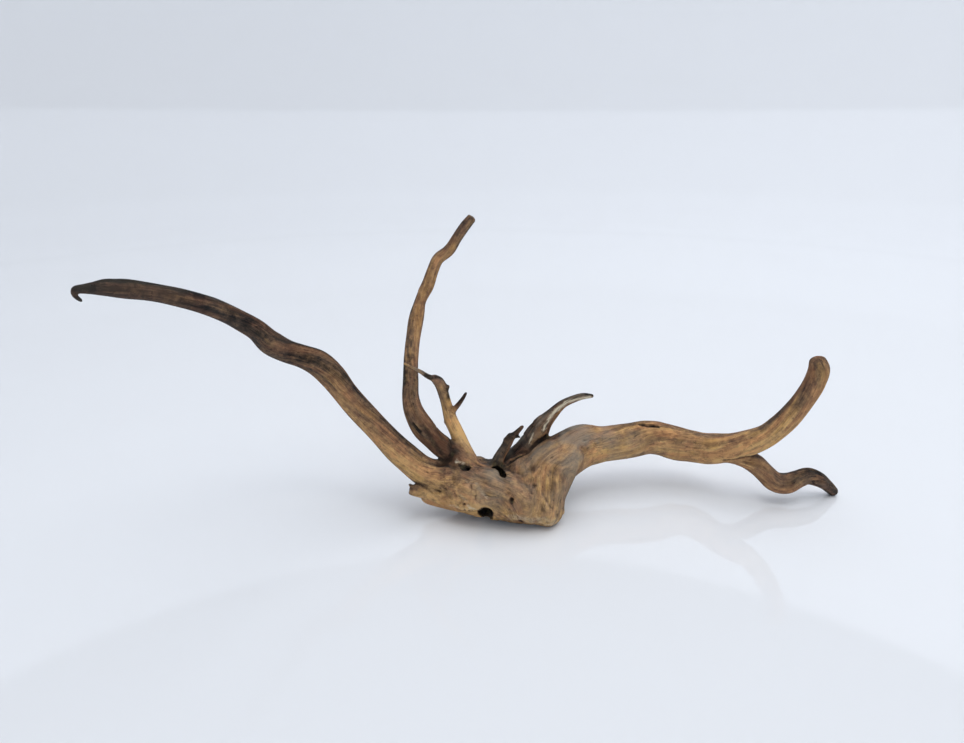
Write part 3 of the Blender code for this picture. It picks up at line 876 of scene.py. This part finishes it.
def wood_material():
    material = bpy.data.materials.new("dry_wood")
    material.use_nodes = True
    tree = material.node_tree
    shader = tree.nodes["Principled BSDF"]
    shader.inputs["Specular IOR Level"].default_value = 0.25
    place = tree.nodes.new("ShaderNodeTexCoord")
    spot = Socket(tree, place.outputs["Object"]).scaled((1000.0, 1000.0, 1000.0))

    def fact(name, output="Fac"):
        return spot.node("ShaderNodeAttribute", {"attribute_name": name}, output=output)

    grain = fact("grain", "Vector")
    share = fact("share")

    def both(along, across, detail=2.0, roughness=0.5):
        """Noise along the grain on the limbs, and swirling noise where limbs meet."""
        limb_noise = grain.noise((1 / along, 1 / across, 1 / across), detail, roughness)
        heart = spot.node(
            "ShaderNodeTexNoise", {"noise_dimensions": "3D"},
            {"Vector": spot.scaled((1 / (3 * across), 1 / (1.4 * across), 1 / (1.4 * across))), "Scale": 1.0,
             "Detail": detail, "Roughness": roughness, "Distortion": 0.6})
        return share * limb_noise + (1.0 - share) * heart

    broad = both(70.0, 10.0, 1.0)
    streaks = both(34.0, 2.4, 3.0, 0.6)
    fibres = both(12.0, 0.8, 2.0, 0.6)
    lines = both(45.0, 3.6, 1.0)
    patches = spot.noise((1 / 26, 1 / 26, 1 / 26), 2.0)
    mottle = spot.noise((1 / 5, 1 / 5, 1 / 5), 3.0, 0.65)
    hue = both(26.0, 7.0, 2.0)
    specks = spot.noise((1 / 2.2, 1 / 2.2, 1 / 2.2), 1.0)

    check = 1.0 - (lines - 0.5).math("ABSOLUTE").step(0.004, 0.028)
    value = fact("tone") + 0.6 * (broad - 0.5) + 0.45 * (fibres - 0.5) + 0.8 * (mottle - 0.5)
    value = value + fact("streaky") * (streaks - 0.5) - 0.2 * specks.step(0.66, 0.74)
    value = value - 0.15 * check * share * patches.step(0.45, 0.6)
    body = spot.node("ShaderNodeValToRGB", inputs={0: value.clipped()})
    ramp = body.socket.node.color_ramp
    ramp.elements[0].position, ramp.elements[0].color = 0.0, NEARLY_BLACK
    ramp.elements[1].position, ramp.elements[1].color = 1.0, GOLD
    for position, tint in ((0.22, DARK_BROWN), (0.45, BROWN), (0.7, TAN)):
        ramp.elements.new(position).color = tint
    tinted = hue.step(0.5, 0.62).mix(body, PINKISH, "MULTIPLY")
    tinted = (1.0 - hue).step(0.52, 0.64).mix(tinted, OLIVE, "MULTIPLY")
    greyed = (fact("grey") * patches.step(0.36, 0.6) * 0.75).clipped().mix(tinted, WEATHER_GREY)
    warmed = (fact("warm") * broad.step(0.45, 0.62) * 0.7).clipped().mix(greyed, RUST)
    # Dirt and painted shade in the furrows and creases.
    dirt_and_shade_mix = (fact("dirt_and_shade").step(0.1, 1.7) * 0.85).mix(warmed, DIRT_AND_SHADE)
    splinters = streaks * 0.5 + fibres * 0.5
    # Pale wood and painted highlights, where the cream strokes lie.
    cream_and_highlight = (fact("cream") * splinters.step(0.38, 0.56)).clipped().mix(dirt_and_shade_mix, CREAM)
    shade_and_moss = mottle.step(0.5, 0.62).mix(NEARLY_BLACK, MOSS)
    # Painted shade: nearly black mottled with moss in the hollows, crevices and slits, and dark wood under
    # the dark streaks.
    final = (fact("dark") * (0.68 + 0.5 * fibres)).clipped().mix(cream_and_highlight, shade_and_moss)
    tree.links.new(final.socket, shader.inputs["Base Color"])
    rough = 0.62 + 0.25 * streaks
    tree.links.new(rough.socket, shader.inputs["Roughness"])
    bumps = streaks * 0.6 + fibres * 0.4 - check * 0.25
    bump = spot.node("ShaderNodeBump", inputs={"Height": bumps, "Distance": 0.002, "Strength": 0.9})
    tree.links.new(bump.socket, shader.inputs["Normal"])
    return material


root.data.materials.clear()
root.data.materials.append(wood_material())
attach(root, "root")
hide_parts("dry_root")
print("material nodes:", len(root.data.materials[0].node_tree.nodes))

# %% [markdown]
# ## Floor and light
# The root lies on a pale glossy floor, which mirrors it faintly, under even light from above. The
# floor rises into a low wall all round, so that no view looks past its edge. The two lamps are wide,
# because a wide lamp gives a soft shadow, and neither is seen by the camera or mirrored.

# %% Stage
FLOOR_RADIUS = 1.6
BEND_RADIUS = 2.0
WALL_HEIGHT = 2.6
STAGE_SIDES = 96
SKY_STRENGTH = 0.2


def stage_profile():
    """Distance out and height: flat, then a quarter circle, then a wall."""
    bend = np.linspace(0, np.pi / 2, 16)
    out = np.concatenate([[0.02], FLOOR_RADIUS + BEND_RADIUS * np.sin(bend), [FLOOR_RADIUS + BEND_RADIUS]])
    high = np.concatenate([[0], BEND_RADIUS * (1 - np.cos(bend)), [WALL_HEIGHT]])
    return out, high


def make_stage():
    out, high = stage_profile()
    turn = np.linspace(0, 2 * np.pi, STAGE_SIDES, endpoint=False)
    rings = np.stack([
        out[:, None] * np.cos(turn), out[:, None] * np.sin(turn), high[:, None] * np.ones(STAGE_SIDES)], -1)
    points, faces = tube(rings)
    mesh = bpy.data.meshes.new("floor")
    mesh.from_pydata(points, [], [face[::-1] for face in faces[:-1]])
    floor = bpy.data.objects.new("floor", mesh)
    bpy.context.scene.collection.objects.link(floor)
    mesh.shade_smooth()
    material = bpy.data.materials.new("floor")
    material.use_nodes = True
    shader = material.node_tree.nodes["Principled BSDF"]
    shader.inputs["Base Color"].default_value = colour(231, 235, 240)
    shader.inputs["Roughness"].default_value = 0.05
    shader.inputs["Specular IOR Level"].default_value = 0.8
    mesh.materials.append(material)


def make_light(name, place, size, power, tint):
    """A round soft light that looks at the root."""
    data = bpy.data.lights.new(name, "AREA")
    data.shape = "DISK"
    data.size = size
    data.energy = power
    data.color = tint[:3]
    light = bpy.data.objects.new(name, data)
    light.location = place
    light.visible_camera = light.visible_glossy = False
    light.rotation_euler = (Vector((0, 0, 0.05)) - Vector(place)).to_track_quat("-Z", "Y").to_euler()
    bpy.context.scene.collection.objects.link(light)
    return light


make_stage()
make_light("window", (0.55, -1.35, 3.3), 2.6, 31.0, colour(255, 250, 242))
make_light("ceiling", (0.8, 0.8, 3.6), 4.8, 113.0, colour(250, 251, 255))
world = bpy.data.worlds.new("sky")
world.use_nodes = True
world.node_tree.nodes["Background"].inputs["Color"].default_value = colour(236, 240, 248)
world.node_tree.nodes["Background"].inputs["Strength"].default_value = SKY_STRENGTH
bpy.context.scene.world = world
bpy.context.scene.view_settings.view_transform = "Standard"
print("stage and light ready")
